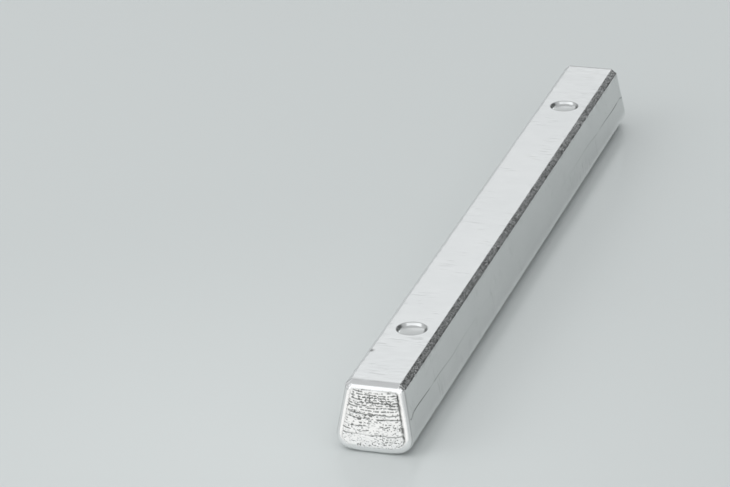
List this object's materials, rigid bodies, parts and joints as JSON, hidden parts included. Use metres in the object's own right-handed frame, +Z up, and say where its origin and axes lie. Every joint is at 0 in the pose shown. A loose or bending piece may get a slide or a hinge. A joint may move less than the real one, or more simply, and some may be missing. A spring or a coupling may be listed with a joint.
{
  "type": "solder bar",
  "caption": "Cast solder bar of tapered section, narrow face up, with chamfered upper edges, leaning rounded ends and shallow round recesses near both ends.",
  "frame": {"origin": "centre of the underside's flat land, at floor level", "axes": "+Z up, +Y along the bar's length, +X across it; the narrow face is up"},
  "size_m": [0.0248, 0.2814, 0.0228],
  "materials": {
    "solder": "satin"
  },
  "bodies": {
    "root": {"solder_bar": "solder"}
  },
  "joints": []
}
